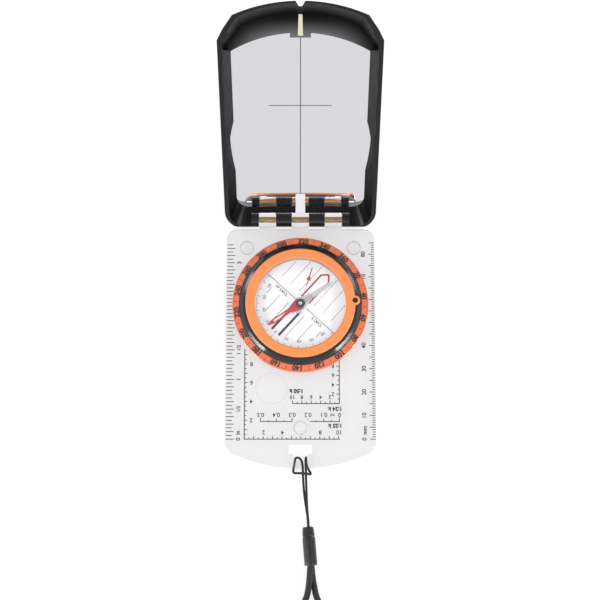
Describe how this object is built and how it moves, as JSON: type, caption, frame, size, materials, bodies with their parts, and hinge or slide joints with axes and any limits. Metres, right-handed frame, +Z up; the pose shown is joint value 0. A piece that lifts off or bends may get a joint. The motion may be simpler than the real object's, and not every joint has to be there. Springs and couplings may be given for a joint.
{
  "type": "baseplate compass",
  "caption": "Mirror-sighting baseplate compass: clear scaled plate, turning dial with liquid capsule and needle, hinged mirror lid, lanyard with toggle.",
  "frame": {"origin": "middle of the open compass's footprint, lanyard left out, on the plane the feet rest on", "axes": "+Z up, +X to the right, +Y from the lanyard end towards the hinge and lid"},
  "size_m": [0.0648, 0.2749, 0.0929],
  "materials": {
    "clear_plate": "clear polished acrylic",
    "soft_clear": "soft translucent",
    "brass_pin": "plain drawn brass",
    "orange_clear": "translucent orange, polished",
    "black_rubber": "satin black rubber",
    "orange_matt": "matt orange",
    "black_plastic": "black",
    "steel": "plain steel",
    "brass": "plain brass",
    "capsule_clear": "clear polished",
    "seal": "pale rubber",
    "needle_paint": "red and white paint",
    "magnet": "dark grey",
    "jewel": "pale polished",
    "pointer_paint": "red outer part, grey arm",
    "lid_black": "satin gloss black",
    "mirror": "silvered",
    "foam": "grey adhesive foam",
    "luminous": "cream luminous",
    "thin_cord": "black twisted cord",
    "toggle_black": "black",
    "neck_cord": "black braid"
  },
  "bodies": {
    "base": {"baseplate": "clear_plate", "foot_left": "soft_clear", "foot_right": "soft_clear", "foot_front": "soft_clear", "hinge_pin": "brass_pin", "hitch_cord": "thin_cord", "toggle_cap": "toggle_black", "toggle_sleeve": "toggle_black", "neck_cord_run": "neck_cord", "neck_cord_coil": "neck_cord", "coil_tie": "black_plastic"},
    "dial": {"dial_ring": "orange_clear", "grip_ring": "black_rubber", "top_ring": "orange_matt", "dial_retaining_ring": "black_plastic"},
    "capsule": {"declination_gear": "black_plastic", "capsule_base": "capsule_clear", "capsule_cover": "capsule_clear", "capsule_seal": "seal", "pivot_post": "steel"},
    "screw": {"declination_screw": "brass"},
    "needle": {"needle": "needle_paint", "needle_magnet": "magnet", "needle_hub": "black_plastic", "hub_jewel": "jewel"},
    "clinometer": {"clinometer_pointer": "pointer_paint"},
    "lid": {"lid_shell": "lid_black", "mirror": "mirror", "mirror_pad": "foam", "sight_strip": "luminous"}
  },
  "joints": [
    {"name": "lid_hinge", "type": "hinge", "parent": "base", "child": "lid", "pos_m": [0, 0.0204, 0.007], "axis": [1, 0, 0], "range_deg": [-50, 128]},
    {"name": "dial_turn", "type": "hinge", "parent": "base", "child": "dial", "pos_m": [0, -0.0168, 0.0055], "axis": [0, 0, 1], "continuous": true},
    {"name": "capsule_turn", "type": "hinge", "parent": "dial", "child": "capsule", "pos_m": [0, -0.0168, 0.0055], "axis": [0, 0, 1], "range_deg": [-40, 40]},
    {"name": "screw_turn", "type": "hinge", "parent": "dial", "child": "screw", "pos_m": [0.02328, -0.01582, 0.009], "axis": [0, 0, 1], "range_deg": [-540, 540]},
    {"name": "needle_turn", "type": "hinge", "parent": "capsule", "child": "needle", "pos_m": [0, -0.0168, 0.0101], "axis": [0, 0, 1], "continuous": true},
    {"name": "clinometer_turn", "type": "hinge", "parent": "capsule", "child": "clinometer", "pos_m": [0, -0.0168, 0.0077], "axis": [0, 0, 1], "continuous": true}
  ],
  "couplings": [
    {"joint": "screw_turn", "follows": "capsule_turn", "ratio": -13.5}
  ]
}
